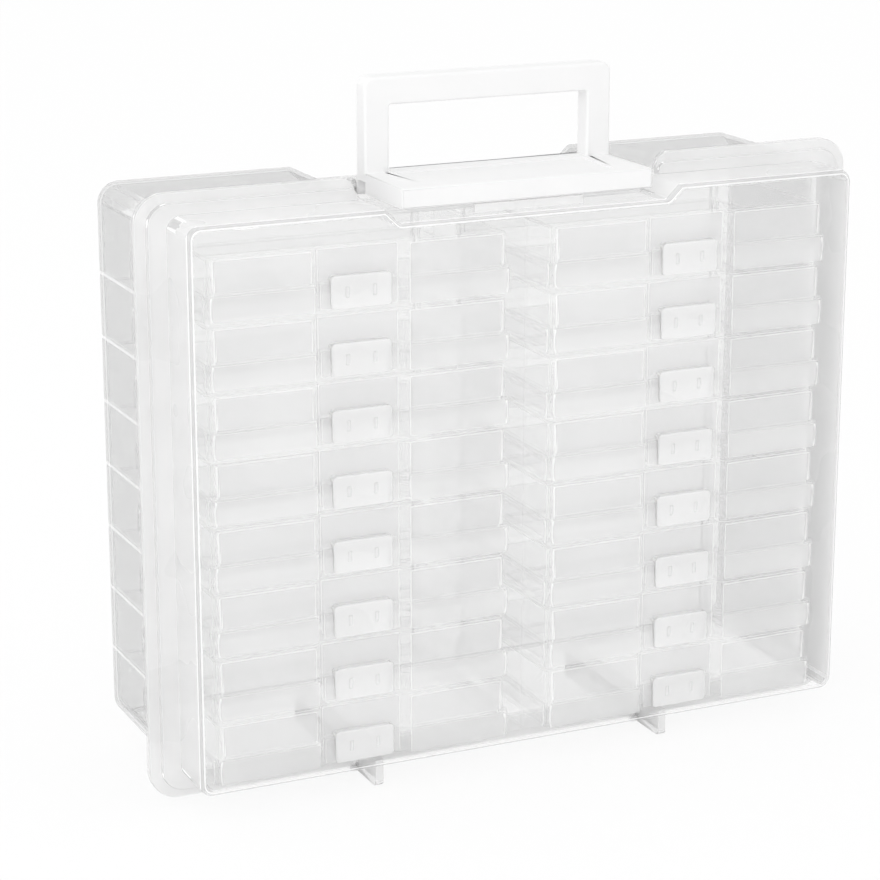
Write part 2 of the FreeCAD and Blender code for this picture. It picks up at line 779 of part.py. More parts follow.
def check(pieces):
    """Stop if anything in the document failed or a piece is not one sound solid."""
    for thing in doc.Objects:
        if {"Invalid", "Error"} & set(thing.State):
            raise RuntimeError(f"{thing.Label} failed: {thing.State}")
    for piece in pieces:
        if piece.Shape.isNull() or not piece.Shape.isValid() or len(piece.Shape.Solids) != 1:
            raise RuntimeError(f"{piece.Label} is not one sound solid")


def main():
    """Build every piece and write one file for each."""
    pieces = [make_shell(), make_side_rack(-1), make_side_rack(1), make_divider_rack()]
    pieces += [make_door(), make_handle()]
    pin_length = f"2 * {EARS_HALF}"
    for name, side in (("left", -1), ("right", 1)):
        middle = f"{side} * hinge_spacing / 2"
        pieces.append(make_pin(f"{name}_hinge_pin", "hinge_pin_radius", pin_length, middle, HINGE_Y, HINGE_Z))
    latch_pin_length = "handle_width + 2 * clearance + 2 * lug_thickness"
    pieces.append(make_pin("handle_pin", "latch_pin_radius", latch_pin_length, "0", PIVOT_Y, PIVOT_Z))
    pieces += make_small_cases()
    doc.recompute()
    check(pieces)
    os.makedirs("parts", exist_ok=True)
    for piece in pieces:
        piece.Shape.exportStep(f"parts/{piece.Label}.step")


main()
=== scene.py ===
"""Looks of a clear sorting case: clouded shell and door, white handle, sixteen small lidded cases."""
import logging
from dataclasses import dataclass, field
from enum import Enum
from typing import Any

import bpy
import numpy as np
from mathutils import Matrix, Vector


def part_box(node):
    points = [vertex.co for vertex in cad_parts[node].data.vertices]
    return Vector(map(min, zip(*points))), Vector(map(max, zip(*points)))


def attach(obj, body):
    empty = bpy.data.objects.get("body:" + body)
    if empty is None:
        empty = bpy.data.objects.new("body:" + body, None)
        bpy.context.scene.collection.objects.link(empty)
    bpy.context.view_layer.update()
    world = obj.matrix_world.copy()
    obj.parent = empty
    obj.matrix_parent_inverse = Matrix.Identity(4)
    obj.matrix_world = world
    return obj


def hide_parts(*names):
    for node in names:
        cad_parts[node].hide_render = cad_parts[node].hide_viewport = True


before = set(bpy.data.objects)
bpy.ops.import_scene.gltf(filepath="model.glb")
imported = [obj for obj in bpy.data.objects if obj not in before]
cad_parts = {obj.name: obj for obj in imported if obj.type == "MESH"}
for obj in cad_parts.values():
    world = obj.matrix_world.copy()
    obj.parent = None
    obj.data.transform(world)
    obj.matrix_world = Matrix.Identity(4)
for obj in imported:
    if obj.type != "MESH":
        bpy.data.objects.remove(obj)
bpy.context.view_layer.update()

LOG = logging.getLogger("sorting_case")
MM = 0.001
WHITE = (1.0, 1.0, 1.0, 1.0)
# Nearly all values of a noise texture lie in this range.
NOISE_RANGE = (0.3, 0.7)
# A face looks along an axis when its normal's part on that axis is above this.
FACING_ABOVE = 0.9
# The largest part of the normal, from where a round's painted highlight on its two edges and its painted shade
# along its middle begin to where they are full.
HIGHLIGHT_TURN = (0.99, 0.96)
SHADE_TURN = (0.93, 0.86)
# Rounds whose normal has less depth than this run from front to back.
CORNER_BELOW = 0.1
# Edges that turn by more than this many radians are rounded.
ROUND_ABOVE = 0.6
ROUND_SEGMENTS = 2
WELD_MM = 0.01
# The mean of two ends, each zero or one, is above this only when both are one.
BOTH_ENDS = 0.9


class Piece(Enum):
    """The two large mouldings of a small case."""

    BASE = "base"
    COVER = "cover"


class Column(Enum):
    """The two columns of small cases, as seen from the door."""

    LEFT = "left"
    RIGHT = "right"


def linear(hex_code: str) -> tuple[float, float, float, float]:
    """Turn an sRGB hex colour into linear light.

    Args:
        hex_code: six hexadecimal digits.

    Returns:
        Red, green, blue and an alpha of one.
    """
    shares = [int(hex_code[at:at + 2], 16) / 255 for at in (0, 2, 4)]
    light = [s / 12.92 if s <= 0.04045 else ((s + 0.055) / 1.055) ** 2.4 for s in shares]
    return light[0], light[1], light[2], 1.0


def add_node(
    tree: bpy.types.NodeTree, kind: str, inputs: dict[Any, Any], **settings: Any,
) -> bpy.types.Node:
    """Add one node to a tree with its settings, values and links.

    Args:
        tree: the tree that gets the node.
        kind: the node's type.
        inputs: input socket names or numbers, each with a value or with the output socket to link.
        settings: the node's own properties.

    Returns:
        The new node.
    """
    node = tree.nodes.new(kind)
    for name, value in settings.items():
        setattr(node, name, value)
    for socket, value in inputs.items():
        if isinstance(value, bpy.types.NodeSocket):
            tree.links.new(value, node.inputs[socket])
        else:
            node.inputs[socket].default_value = value
    return node


def calculate(tree: bpy.types.NodeTree, operation: str, *values: Any) -> bpy.types.NodeSocket:
    """Work out one number from others.

    Args:
        tree: the tree that does the sum.
        operation: what is done with the values.
        values: numbers or output sockets.

    Returns:
        The result's socket.
    """
    return add_node(tree, "ShaderNodeMath", dict(enumerate(values)), operation=operation).outputs[0]


def calculate_vector(tree: bpy.types.NodeTree, operation: str, *values: Any) -> bpy.types.NodeSocket:
    """Work out one vector from others.

    Args:
        tree: the tree that does the sum.
        operation: what is done with the values.
        values: vectors or output sockets.

    Returns:
        The result's socket.
    """
    return add_node(tree, "ShaderNodeVectorMath", dict(enumerate(values)), operation=operation).outputs[0]


def split(tree: bpy.types.NodeTree, vector: bpy.types.NodeSocket) -> tuple[bpy.types.NodeSocket, ...]:
    """Take a vector's three parts.

    Args:
        tree: the tree that has the vector.
        vector: its socket.

    Returns:
        The sockets of its width, depth and height.
    """
    return tuple(add_node(tree, "ShaderNodeSeparateXYZ", {0: vector}).outputs)


def remap(
    tree: bpy.types.NodeTree, value: bpy.types.NodeSocket, source: tuple[Any, Any], target: tuple[Any, Any],
    **settings: Any,
) -> bpy.types.NodeSocket:
    """Carry a value from one range over to another.

    Args:
        tree: the tree that has the value.
        value: its socket.
        source: the range that it comes from.
        target: the range that it goes to.
        settings: the node's own properties.

    Returns:
        The new value's socket.
    """
    inputs = {
        "Value": value, "From Min": source[0], "From Max": source[1],
        "To Min": target[0], "To Max": target[1],
    }
    return add_node(tree, "ShaderNodeMapRange", inputs, **settings).outputs["Result"]


def blend(
    tree: bpy.types.NodeTree, share: bpy.types.NodeSocket, one: Any, other: Any,
) -> bpy.types.NodeSocket:
    """Mix two numbers.

    Args:
        tree: the tree that mixes.
        share: how much of the other number counts.
        one: the first number or its socket.
        other: the other number or its socket.

    Returns:
        The mix's socket.
    """
    return add_node(tree, "ShaderNodeMix", {0: share, 2: one, 3: other}).outputs[0]


def tint(
    tree: bpy.types.NodeTree, share: bpy.types.NodeSocket, one: Any, other: Any,
) -> bpy.types.NodeSocket:
    """Mix two colours.

    Args:
        tree: the tree that mixes.
        share: how much of the other colour counts.
        one: the first colour or its socket.
        other: the other colour or its socket.

    Returns:
        The mix's socket.
    """
    return add_node(tree, "ShaderNodeMix", {0: share, 6: one, 7: other}, data_type="RGBA").outputs[2]


def new_tree(material: bpy.types.Material) -> tuple[bpy.types.NodeTree, bpy.types.Node]:
    """Empty a material's tree.

    Args:
        material: the material to clear.

    Returns:
        Its node tree and a new output node.
    """
    material.use_nodes = True
    material.node_tree.nodes.clear()
    return material.node_tree, material.node_tree.nodes.new("ShaderNodeOutputMaterial")


@dataclass(frozen=True)
class ClearPlastic:
    """Moulded polypropylene, clear but a little clouded: flats let light through, thick walls look milky.

    A rounded edge bends light: it gathers along the round's two edges and dims between them. Both are painted,
    a highlight on the round's edges and a shade along its middle. Each alpha says how much a kind of surface
    covers: polished faces, other walls, sides, and the painted highlight and painted shade of rounds.
    """

    name: str
    body_hex: str
    face_alpha: float
    wall_alpha: float
    side_alpha: float
    highlight_alpha: float
    core_shade_alpha: float
    # Painted light or shade of the side walls; None leaves them in the body's colour.
    side_shading_hex: str | None = None
    highlight_hex: str = "FFFFFF"
    core_shade_hex: str = "C4C4C4"
    milky_hex: str = "F2F2F2"
    clear_from_mm: float = -1000.0
    clear_to_mm: float = 1000.0
    clear_below_mm: float = -1000.0
    milky_to_mm: float = -1000.0
    milky_ramp_mm: float = 12.0
    cloud_share: float = 0.03
    plain_corners: bool = False
    rib_at_mm: float = 0.0
    rib_pitch_mm: float = 0.0
    rib_top_mm: float = 0.0
    rib_half_mm: float = 0.8
    roughness: float = 0.28
    roughness_spread: float = 0.05
    ior: float = 1.49
    flow_mm: float = 45.0
    flow_detail: float = 1.0

    def material(self) -> bpy.types.Material:
        """Build the material: clouding follows the mould's flow, and rounded edges get a painted highlight and
        a painted shade.

        Returns:
            The finished material.
        """
        made = bpy.data.materials.new(self.name)
        tree, output = new_tree(made)
        place = add_node(tree, "ShaderNodeTexCoord", {})
        depth = split(tree, place.outputs["Object"])[1]
        # The melt's flow leaves slow clouds, a few centimetres wide.
        flow = add_node(
            tree, "ShaderNodeTexNoise",
            {"Vector": place.outputs["Object"], "Scale": 1 / (self.flow_mm * MM),
             "Detail": self.flow_detail},
        ).outputs["Fac"]
        cloud = remap(tree, flow, NOISE_RANGE, (1 - self.cloud_share, 1 + self.cloud_share))
        colour = calculate_vector(tree, "MULTIPLY", linear(self.body_hex)[:3], cloud)
        # Towards its flange the wall thickens and turns milky.
        milky_from_mm = self.milky_to_mm + self.milky_ramp_mm
        thick = remap(tree, depth, (milky_from_mm * MM, self.milky_to_mm * MM), (0.0, 1.0))
        rim_highlight, middle_shade = self.rounding(tree, place)
        alpha, across, rib = self.clearness(tree, place)
        tints = [(thick, self.milky_hex)]
        # The side walls get painted light and shade in their colour: lighter on the small cases, darker on the
        # door.
        if self.side_shading_hex is not None:
            tints.insert(0, (across, self.side_shading_hex))
        # Ribs get a painted highlight.
        if rib is not None:
            tints.append((rib, self.highlight_hex))
        # The edges of rounds get a painted highlight and their middle a painted shade, in colour and in cover.
        for share, hex_code in (*tints, (rim_highlight, self.highlight_hex), (middle_shade, self.core_shade_hex)):
            colour = tint(tree, share, colour, linear(hex_code))
        for share, cover in ((rim_highlight, self.highlight_alpha), (middle_shade, self.core_shade_alpha)):
            alpha = blend(tree, share, alpha, cover)
        # The flow also leaves the gloss a little uneven.
        gloss_range = (self.roughness - self.roughness_spread, self.roughness + self.roughness_spread)
        gloss = remap(tree, flow, NOISE_RANGE, gloss_range)
        shader = add_node(
            tree, "ShaderNodeBsdfPrincipled",
            {"Base Color": colour, "Roughness": gloss, "IOR": self.ior, "Alpha": alpha},
        )
        tree.links.new(shader.outputs[0], output.inputs["Surface"])
        return made

    def rounding(
        self, tree: bpy.types.NodeTree, place: bpy.types.Node,
    ) -> tuple[bpy.types.NodeSocket, bpy.types.NodeSocket]:
        """Where the surface turns away from the piece's three flat directions, as it does on rounded edges.

        Args:
            tree: the material's tree.
            place: its coordinates.

        Returns:
            The painted highlight's mask on a round's two edges, and the painted shade's mask along its middle.
        """
        wide, deep, tall = split(tree, calculate_vector(tree, "ABSOLUTE", place.outputs["Normal"]))
        flattest = calculate(tree, "MAXIMUM", calculate(tree, "MAXIMUM", wide, deep), tall)
        # Rounds that run from front to back, such as a box's own corners, are wide and stay plain, without
        # painted highlight or shade.
        shines = calculate(tree, "GREATER_THAN", deep, CORNER_BELOW if self.plain_corners else -1.0)
        rim_highlight, middle_shade = (
            remap(tree, flattest, turn, (0.0, shines), interpolation_type="SMOOTHSTEP")
            for turn in (HIGHLIGHT_TURN, SHADE_TURN)
        )
        return rim_highlight, middle_shade

    def clearness(
        self, tree: bpy.types.NodeTree, place: bpy.types.Node,
    ) -> tuple[bpy.types.NodeSocket, bpy.types.NodeSocket, bpy.types.NodeSocket | None]:
        """Cover of the flats: polished faces and low floors cover least, walls more, ribs most.

        Args:
            tree: the material's tree.
            place: its coordinates.

        Returns:
            The alpha of the flats, one on the sides, and the painted highlight's mask along the wall's ribs,
            or
            None for a piece without.
        """
        normal = calculate_vector(tree, "ABSOLUTE", place.outputs["Normal"])
        across, facing, lying = (
            calculate(tree, "GREATER_THAN", part, FACING_ABOVE) for part in split(tree, normal)
        )
        depth, height = split(tree, place.outputs["Object"])[1:]
        behind = calculate(tree, "GREATER_THAN", depth, self.clear_from_mm * MM)
        before = calculate(tree, "LESS_THAN", depth, self.clear_to_mm * MM)
        polished = calculate(tree, "MULTIPLY", calculate(tree, "MULTIPLY", facing, behind), before)
        low = calculate(tree, "LESS_THAN", height, self.clear_below_mm * MM)
        clear = calculate(tree, "MAXIMUM", polished, calculate(tree, "MULTIPLY", lying, low))
        wall = blend(tree, across, self.wall_alpha, self.side_alpha)
        alpha = blend(tree, clear, wall, self.face_alpha)
        if self.rib_pitch_mm <= 0:
            return alpha, across, None
        # Along each row the side wall is ribbed for the ledge behind it, which shows as a pale line, painted
        # as a highlight.
        above = calculate(tree, "SUBTRACT", height, self.rib_at_mm * MM)
        distance = calculate(tree, "PINGPONG", above, self.rib_pitch_mm / 2 * MM)
        near = calculate(tree, "LESS_THAN", distance, self.rib_half_mm * MM)
        under = calculate(tree, "LESS_THAN", height, self.rib_top_mm * MM)
        rib = calculate(tree, "MULTIPLY", calculate(tree, "MULTIPLY", across, near), under)
        return blend(tree, rib, alpha, self.highlight_alpha), across, rib


@dataclass(frozen=True)
class WhitePlastic:
    """Moulded white polypropylene: satin, with a fine even mould texture and faint flow marks."""

    name: str
    light_hex: str
    deep_hex: str
    roughness: float = 0.42
    roughness_less: float = 0.05
    roughness_more: float = 0.08
    ior: float = 1.49
    flow_mm: float = 30.0
    flow_detail: float = 3.0
    grain_mm: float = 1.2
    grain_detail: float = 2.0
    grain_depth_mm: float = 0.03
    grain_strength: float = 0.6

    def material(self) -> bpy.types.Material:
        """Build the material: a slow change of white and a fine satin grain.

        Returns:
            The finished material.
        """
        made = bpy.data.materials.new(self.name)
        tree, output = new_tree(made)
        place = add_node(tree, "ShaderNodeTexCoord", {}).outputs["Object"]
        # The flow leaves faint marks. The satin grain is drawn about three times too coarse so that it shows.
        flow, grain = (
            add_node(
                tree, "ShaderNodeTexNoise",
                {"Vector": place, "Scale": 1 / (size_mm * MM), "Detail": detail},
            ).outputs["Fac"]
            for size_mm, detail in ((self.flow_mm, self.flow_detail), (self.grain_mm, self.grain_detail))
        )
        bump = add_node(
            tree, "ShaderNodeBump",
            {"Height": grain, "Strength": self.grain_strength, "Distance": self.grain_depth_mm * MM},
        )
        colour = tint(tree, flow, linear(self.deep_hex), linear(self.light_hex))
        gloss_range = (self.roughness - self.roughness_less, self.roughness + self.roughness_more)
        gloss = remap(tree, grain, NOISE_RANGE, gloss_range)
        shader = add_node(
            tree, "ShaderNodeBsdfPrincipled",
            {"Base Color": colour, "Roughness": gloss, "IOR": self.ior, "Normal": bump.outputs[0]},
        )
        tree.links.new(shader.outputs[0], output.inputs["Surface"])
        return made


SHELL_PLASTIC = ClearPlastic(
    "clouded_polypropylene_shell", "686868",
    face_alpha=0.05, wall_alpha=0.19, side_alpha=0.19, highlight_alpha=0.45, core_shade_alpha=0.20,
    highlight_hex="F4F4F4", core_shade_hex="CCCCCC", clear_from_mm=50.0, clear_below_mm=298.0, milky_to_mm=-26.0,
    cloud_share=0.10, plain_corners=True, rib_at_mm=54.5, rib_pitch_mm=33.6, rib_top_mm=280.0,
)
RACK_PLASTIC = ClearPlastic(
    "clouded_polypropylene_rack", "F6F6F6",
    face_alpha=0.04, wall_alpha=0.04, side_alpha=0.04, highlight_alpha=0.45, core_shade_alpha=0.12,
)
DOOR_PLASTIC = ClearPlastic(
    "clear_polypropylene_door", "F9F9F9",
    face_alpha=0.03, wall_alpha=0.52, side_alpha=0.52, highlight_alpha=0.92, core_shade_alpha=0.42,
    side_shading_hex="EEEEEE", core_shade_hex="D4D4D4", clear_to_mm=-55.0, clear_below_mm=298.0, plain_corners=True,
)
COVER_PLASTIC = ClearPlastic(
    "clear_polypropylene_cover", "ECECEC",
    face_alpha=0.31, wall_alpha=0.05, side_alpha=0.07, highlight_alpha=0.60, core_shade_alpha=0.08,
    side_shading_hex="FFFFFF", core_shade_hex="EEEEEE", clear_to_mm=-30.0,
)
BASE_PLASTIC = ClearPlastic(
    "milky_polypropylene_tray", "F3F3F3",
    face_alpha=0.34, wall_alpha=0.05, side_alpha=0.13, highlight_alpha=0.65, core_shade_alpha=0.08,
    side_shading_hex="FFFFFF", core_shade_hex="EEEEEE", clear_to_mm=-30.0,
)
CLASP_PLASTIC = ClearPlastic(
    "milky_polypropylene_clasp", "FEFEFE",
    face_alpha=0.68, wall_alpha=0.50, side_alpha=0.50, highlight_alpha=0.75, core_shade_alpha=0.62, core_shade_hex="F4F4F4",
)
HANDLE_PLASTIC = WhitePlastic("satin_white_polypropylene", "F8F8F8", "F3F3F3")


@dataclass(frozen=True)
class SharpSpot:
    """A box, mirrored in the middle plane, whose edges meet too tightly to be rounded."""

    low_mm: tuple[float, float, float]
    high_mm: tuple[float, float, float]

    def edge_choice(self) -> bpy.types.NodeTree:
        """Mark the sharp edges for rounding, apart from those that end in the box.

        Returns:
            A tree of geometry nodes that writes the marks.
        """
        tree = bpy.data.node_groups.new("choose_edges", "GeometryNodeTree")
        for side in ("INPUT", "OUTPUT"):
            tree.interface.new_socket("Geometry", in_out=side, socket_type="NodeSocketGeometry")
        shape = add_node(tree, "NodeGroupInput", {}).outputs[0]
        low, high = np.array(self.low_mm) * MM, np.array(self.high_mm) * MM
        x, y, z = split(tree, add_node(tree, "GeometryNodeInputPosition", {}).outputs[0])
        aside = calculate(tree, "ABSOLUTE", x)
        away = add_node(tree, "ShaderNodeCombineXYZ", {0: aside, 1: y, 2: z}).outputs[0]
        away = calculate_vector(tree, "SUBTRACT", away, (low + high) / 2)
        away = calculate_vector(tree, "ABSOLUTE", calculate_vector(tree, "DIVIDE", away, (high - low) / 2))
        x, y, z = split(tree, away)
        farthest = calculate(tree, "MAXIMUM", calculate(tree, "MAXIMUM", x, y), z)
        outside = calculate(tree, "GREATER_THAN", farthest, 1.0)
        ends = add_node(
            tree, "GeometryNodeFieldOnDomain", {"Value": outside}, domain="POINT", data_type="FLOAT",
        ).outputs[0]
        # An edge takes the mean of its two ends, so only one with both ends outside counts in full.
        free = calculate(tree, "GREATER_THAN", ends, BOTH_ENDS)
        angle = add_node(tree, "GeometryNodeInputMeshEdgeAngle", {}).outputs["Unsigned Angle"]
        chosen = calculate(tree, "MULTIPLY", calculate(tree, "GREATER_THAN", angle, ROUND_ABOVE), free)
        marked = add_node(
            tree, "GeometryNodeStoreNamedAttribute",
            {"Geometry": shape, "Name": "bevel_weight_edge", "Value": chosen},
            data_type="FLOAT", domain="EDGE",
        )
        add_node(tree, "NodeGroupOutput", {0: marked.outputs[0]})
        return tree


def dress(
    node_name: str, material: bpy.types.Material, bevel_mm: float = 0.0, sharp: SharpSpot | None = None,
) -> bpy.types.Object:
    """Give a CAD node its finish and, where asked, narrow rounded edges.

    Args:
        node_name: the node to dress.
        material: its finish.
        bevel_mm: width of the rounded edges; zero leaves the edges as they are.
        sharp: where edges stay as they are on a piece that is otherwise rounded.

    Returns:
        The node's object.
    """
    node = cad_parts[node_name]
    node.data.materials.clear()
    node.data.materials.append(material)
    if bevel_mm > 0:
        weld = node.modifiers.new("join_facets", "WELD")
        weld.merge_threshold = WELD_MM * MM
        if sharp is not None:
            node.modifiers.new("choose_edges", "NODES").node_group = sharp.edge_choice()
        rounding = node.modifiers.new("soft_edges", "BEVEL")
        rounding.width = bevel_mm * MM
        rounding.segments = ROUND_SEGMENTS
        rounding.limit_method = "ANGLE" if sharp is None else "WEIGHT"
        rounding.angle_limit = ROUND_ABOVE
        rounding.harden_normals = True
        rounding.use_clamp_overlap = False
    LOG.info("dressed %s with %s", node_name, material.name)
    return node


@dataclass
class CarryingShell:
    """The carrying shell with its racks and hinge pins."""

    shell: str = "back_shell"
    racks: tuple[str, ...] = ("left_rack", "right_rack", "divider_rack")
    pins: tuple[str, ...] = ("left_hinge_pin", "right_hinge_pin")
    bevel_mm: float = 0.45

    def dress(self) -> None:
        """Give the shell, its racks and its pins their finishes."""
        clouded = SHELL_PLASTIC.material()
        inner = RACK_PLASTIC.material()
        dress(self.shell, clouded, self.bevel_mm)
        for rack in self.racks:
            dress(rack, inner, self.bevel_mm)
        for pin in self.pins:
            dress(pin, clouded)


@dataclass
class Door:
    """The drop-down door."""

    node: str = "front_door"
    bevel_mm: float = 0.45
    dip_ends: SharpSpot = SharpSpot((80.0, -32.0, 300.0), (90.0, -30.0, 320.0))

    def dress(self) -> None:
        """Give the door its clear finish."""
        dress(self.node, DOOR_PLASTIC.material(), self.bevel_mm, self.dip_ends)


@dataclass
class Handle:
    """The white handle and its pin."""

    handle: str = "handle_latch"
    pin: str = "handle_pin"
    bevel_mm: float = 0.4
    leg_roots: SharpSpot = SharpSpot((66.0, -8.0, 304.0), (74.0, 8.0, 311.0))

    def dress(self) -> None:
        """Give the handle and pin their white finish."""
        white = HANDLE_PLASTIC.material()
        dress(self.handle, white, self.bevel_mm, self.leg_roots)
        dress(self.pin, white)


@dataclass
class Clasp:
    """Snap flap of a small case: a plate hung from a round barrel, with two upright slots in its front."""

    column: Column
    row: int
    flap_mm: float = 2.4
    barrel_mm: float = 1.1
    corner_mm: float = 2.0
    edge_mm: float = 0.5
    front_within_mm: float = 0.05
    slot_at_mm: float = 7.2
    slot_wide_mm: float = 0.9
    slot_tall_mm: float = 2.6
    slot_depth_mm: float = 0.6
    slot_ramp_mm: float = 0.6
    front_steps: int = 48
    wide_steps: int = 97
    edge_steps: int = 6
    barrel_steps: int = 13
    end_steps: int = 5

    @property
    def node(self) -> str:
        """Name of the CAD node and body that the clasp stands for."""
        return f"{self.column.value}_case_{self.row}_clasp"

    def profile(self, deep: float, tall: float) -> np.ndarray:
        """Closed outline across the clasp: up the flap's front, over the barrel and down the flap's back.

        Quarter circles of the edge radius join the flap's faces, and half a circle rounds the barrel.

        Args:
            deep: depth from the flap's front to the barrel's back, in millimetres.
            tall: height from the flap's foot to its top, in millimetres.

        Returns:
            Rows of depth and height in millimetres.
        """
        edge, barrel, flap = self.edge_mm, self.barrel_mm, self.flap_mm

        def arc(
            middle: tuple[float, float], radius: float, ends: tuple[float, float], count: int,
        ) -> np.ndarray:
            """Points of a circle's arc between two angles in degrees."""
            turn = np.radians(np.linspace(*ends, count))
            return np.stack([middle[0] + radius * np.cos(turn), middle[1] + radius * np.sin(turn)], axis=1)

        rise = np.linspace(edge, tall - edge, self.front_steps)[1:-1]
        return np.concatenate([
            arc((edge, edge), edge, (-90.0, -180.0), self.edge_steps),
            np.stack([np.zeros_like(rise), rise], axis=1),
            arc((edge, tall - edge), edge, (180.0, 90.0), self.edge_steps),
            arc((deep - barrel, tall - barrel), barrel, (90.0, -90.0), self.barrel_steps),
            np.array([[flap, tall - 2 * barrel]]),
            arc((flap - edge, edge), edge, (0.0, -90.0), self.edge_steps)[:-1],
        ])

    def surface(self, wide: float, deep: float, tall: float) -> np.ndarray:
        """Sweep the outline across the clasp's width.

        The width at a height is the whole width less the rounding of the corners, a quarter circle of the
        corner radius. Near both ends the outline shrinks along its normals by one edge radius less its cosine,
        which rounds the ends. On the front each slot sinks by its depth times two smooth steps, one of width
        and one of height.

        Args:
            wide: width in millimetres.
            deep: depth in millimetres.
            tall: height in millimetres.

        Returns:
            Points as outline by width by three, in millimetres from the low corner, with the width's middle
            at zero.
        """
        outline = self.profile(deep, tall)
        along = np.roll(outline, -1, axis=0) - np.roll(outline, 1, axis=0)
        along /= np.linalg.norm(along, axis=1, keepdims=True)
        outward = np.stack([-along[:, 1], along[:, 0]], axis=1)
        turn = np.radians(np.linspace(0.0, 90.0, self.end_steps))[1:]
        middle = np.linspace(-1.0, 1.0, self.wide_steps)
        flat = np.zeros_like(middle)
        share = np.concatenate([-np.ones_like(turn), middle, np.ones_like(turn)])
        extra = self.edge_mm * np.concatenate([-np.sin(turn)[::-1], flat, np.sin(turn)])
        shrink = self.edge_mm * np.concatenate([1 - np.cos(turn)[::-1], flat, 1 - np.cos(turn)])
        from_end = np.minimum(outline[:, 1], tall - outline[:, 1])
        missing = np.clip(self.corner_mm - from_end, 0.0, self.corner_mm)
        half = wide / 2 - self.corner_mm + np.sqrt(self.corner_mm ** 2 - missing ** 2)
        x = share[None, :] * (half[:, None] - self.edge_mm) + extra[None, :]
        y = outline[:, :1] - outward[:, :1] * shrink[None, :]
        z = outline[:, 1:] - outward[:, 1:] * shrink[None, :]

        def step(inside: np.ndarray) -> np.ndarray:
            """Smooth step from zero to one over the slot's ramp."""
            part = np.clip(inside / self.slot_ramp_mm + 0.5, 0.0, 1.0)
            return part * part * (3 - 2 * part)

        sunk = step(self.slot_wide_mm - np.abs(np.abs(x) - self.slot_at_mm))
        sunk = sunk * step(self.slot_tall_mm - np.abs(z - tall / 2))
        front = (outline[:, :1] < self.front_within_mm) & (shrink[None, :] == 0)
        return np.stack([x, y + np.where(front, sunk * self.slot_depth_mm, 0.0), z], axis=2)

    def build(self, material: bpy.types.Material) -> bpy.types.Object:
        """Make the clasp in the place of its CAD node.

        Args:
            material: its finish.

        Returns:
            The new piece.
        """
        low, high = (np.array(corner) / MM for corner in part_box(self.node))
        wide, deep, tall = high - low
        points = self.surface(wide, deep, tall) + np.array([(low[0] + high[0]) / 2, low[1], low[2]])
        around, across = points.shape[:2]
        number = np.arange(around * across).reshape(around, across)
        ahead = np.roll(number, -1, axis=0)
        sides = np.stack([number[:, :-1], number[:, 1:], ahead[:, 1:], ahead[:, :-1]], axis=2)
        mesh = bpy.data.meshes.new(f"{self.node}_flap")
        ends = [number[:, 0].tolist(), number[::-1, -1].tolist()]
        mesh.from_pydata((points * MM).reshape(-1, 3), [], sides.reshape(-1, 4).tolist() + ends)
        mesh.polygons.foreach_set("use_smooth", np.ones(len(mesh.polygons), dtype=bool))
        mesh.materials.append(material)
        piece = bpy.data.objects.new(f"{self.node}_flap", mesh)
        bpy.context.scene.collection.objects.link(piece)
        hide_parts(self.node)
        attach(piece, self.node)
        LOG.info("built %s", piece.name)
        return piece


@dataclass
class SmallCases:
    """Sixteen small cases in two columns."""

    rows: int = 8
    bevel_mm: float = 0.5

    def dress(self) -> None:
        """Give every tray, cover and clasp its finish."""
        finishes = {Piece.BASE: BASE_PLASTIC.material(), Piece.COVER: COVER_PLASTIC.material()}
        milky = CLASP_PLASTIC.material()
        for column in Column:
            for row in range(1, self.rows + 1):
                for piece, material in finishes.items():
                    dress(f"{column.value}_case_{row}_{piece.value}", material, self.bevel_mm)
                Clasp(column, row).build(milky)


@dataclass
class Lamp:
    """One soft box: where it stands, what it points at, its size in metres and its power in watts."""

    name: str
    place: tuple[float, float, float]
    target: tuple[float, float, float]
    size: float
    power: float


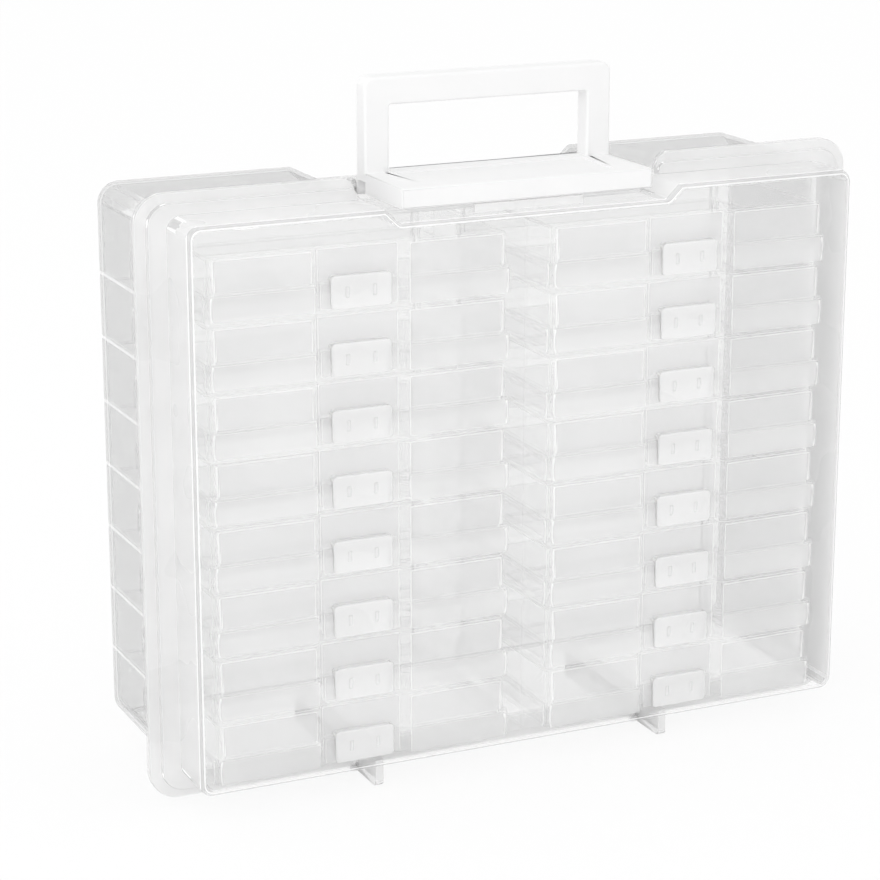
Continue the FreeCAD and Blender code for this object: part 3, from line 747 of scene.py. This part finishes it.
@dataclass
class Studio:
    """White floor, even sky, soft boxes and the camera at the photograph's angle."""

    floor_half: float = 30.0
    paper_hex: str = "F6F6F6"
    shadow_share: float = 0.14
    sky_low: float = 0.80
    sky_high: float = 1.02
    key_side: tuple[float, float, float] = (-0.6, -0.6, 0.5)
    lens_mm: float = 111.6
    sensor_mm: float = 36.0
    camera_place: tuple[float, float, float] = (-0.5995, -1.24124, 0.55273)
    right: tuple[float, float, float] = (0.9072, -0.4207, 0.0)
    down: tuple[float, float, float] = (-0.1151, -0.2481, -0.9619)
    forward: tuple[float, float, float] = (0.4047, 0.8726, -0.2735)
    clear_layers: int = 64
    diffuse_bounces: int = 4
    lamps: list[Lamp] = field(default_factory=lambda: [
        Lamp("front_soft_box", (-1.1, -1.8, 1.2), (0.0, 0.0, 0.17), 1.6, 6.0),
        Lamp("left_soft_box", (-2.0, -0.2, 0.8), (0.0, 0.0, 0.17), 1.2, 4.0),
    ])

    def build(self) -> None:
        """Make the floor, sky, lamps and camera."""
        self.add_floor()
        self.light_sky()
        for lamp in self.lamps:
            self.add_lamp(lamp)
        self.add_camera()
        scene = bpy.context.scene
        scene.view_settings.view_transform = "Standard"
        scene.cycles.transparent_max_bounces = self.clear_layers
        scene.cycles.diffuse_bounces = self.diffuse_bounces

    def seen_directly(self, tree: bpy.types.NodeTree) -> bpy.types.NodeSocket:
        """Light-path factor that is one for rays that show the background to the eye.

        Args:
            tree: the tree that uses the factor.

        Returns:
            The factor's output socket.
        """
        path = add_node(tree, "ShaderNodeLightPath", {}).outputs
        mirrored = calculate(tree, "MAXIMUM", path["Is Camera Ray"], path["Is Glossy Ray"])
        return calculate(tree, "MAXIMUM", mirrored, path["Is Transmission Ray"])

    def add_floor(self) -> None:
        """White floor: light falls on it in full, and the eye sees the white sky with the shadow on it."""
        half = self.floor_half
        mesh = bpy.data.meshes.new("floor")
        corners = [(-half, -half, 0.0), (half, -half, 0.0), (half, half, 0.0), (-half, half, 0.0)]
        mesh.from_pydata(corners, [], [(0, 1, 2, 3)])
        floor = bpy.data.objects.new("floor", mesh)
        bpy.context.scene.collection.objects.link(floor)
        made = bpy.data.materials.new("white_paper_sweep")
        tree, output = new_tree(made)
        paper = add_node(tree, "ShaderNodeBsdfDiffuse", {"Color": linear(self.paper_hex)})
        clear = add_node(tree, "ShaderNodeBsdfTransparent", {})
        shaded = add_node(tree, "ShaderNodeBsdfDiffuse", {"Color": WHITE})
        white = add_node(
            tree, "ShaderNodeMixShader", {0: self.shadow_share, 1: clear.outputs[0], 2: shaded.outputs[0]},
        )
        shown = add_node(
            tree, "ShaderNodeMixShader",
            {0: self.seen_directly(tree), 1: paper.outputs[0], 2: white.outputs[0]},
        )
        tree.links.new(shown.outputs[0], output.inputs["Surface"])
        mesh.materials.append(made)

    def light_sky(self) -> None:
        """Soft white sky, brighter towards the key side: full white to the eye, a plain level as light."""
        world = bpy.data.worlds.new("white_studio")
        bpy.context.scene.world = world
        world.use_nodes = True
        tree = world.node_tree
        tree.nodes.clear()
        direction = add_node(tree, "ShaderNodeTexCoord", {}).outputs["Generated"]
        towards = add_node(
            tree, "ShaderNodeVectorMath", {0: direction, 1: Vector(self.key_side).normalized()},
            operation="DOT_PRODUCT",
        ).outputs["Value"]
        light = remap(tree, towards, (-1.0, 1.0), (self.sky_low, self.sky_high))
        strength = blend(tree, self.seen_directly(tree), light, 1.0)
        sky = add_node(tree, "ShaderNodeBackground", {"Color": WHITE, "Strength": strength})
        output = add_node(tree, "ShaderNodeOutputWorld", {})
        tree.links.new(sky.outputs[0], output.inputs["Surface"])

    def add_lamp(self, lamp: Lamp) -> None:
        """Hang one soft box.

        Args:
            lamp: the soft box.
        """
        data = bpy.data.lights.new(lamp.name, "AREA")
        data.shape = "SQUARE"
        data.size = lamp.size
        data.energy = lamp.power
        holder = bpy.data.objects.new(lamp.name, data)
        holder.location = lamp.place
        aim = Vector(lamp.target) - Vector(lamp.place)
        holder.rotation_euler = aim.to_track_quat("-Z", "Y").to_euler()
        bpy.context.scene.collection.objects.link(holder)

    def add_camera(self) -> None:
        """Set the camera where the photograph was taken from."""
        data = bpy.data.cameras.new("camera")
        data.sensor_fit = "HORIZONTAL"
        data.sensor_width = self.sensor_mm
        data.lens = self.lens_mm
        camera = bpy.data.objects.new("camera", data)
        right, down, forward = Vector(self.right), Vector(self.down), Vector(self.forward)
        turn = Matrix((right, -down, -forward)).transposed().to_4x4()
        camera.matrix_world = Matrix.Translation(self.camera_place) @ turn
        bpy.context.scene.collection.objects.link(camera)
        bpy.context.scene.camera = camera


def main() -> None:
    """Dress every sub-assembly, then set the studio around it."""
    logging.basicConfig(level=logging.INFO)
    CarryingShell().dress()
    Door().dress()
    Handle().dress()
    SmallCases().dress()
    Studio().build()


if __name__ == "__main__":
    main()
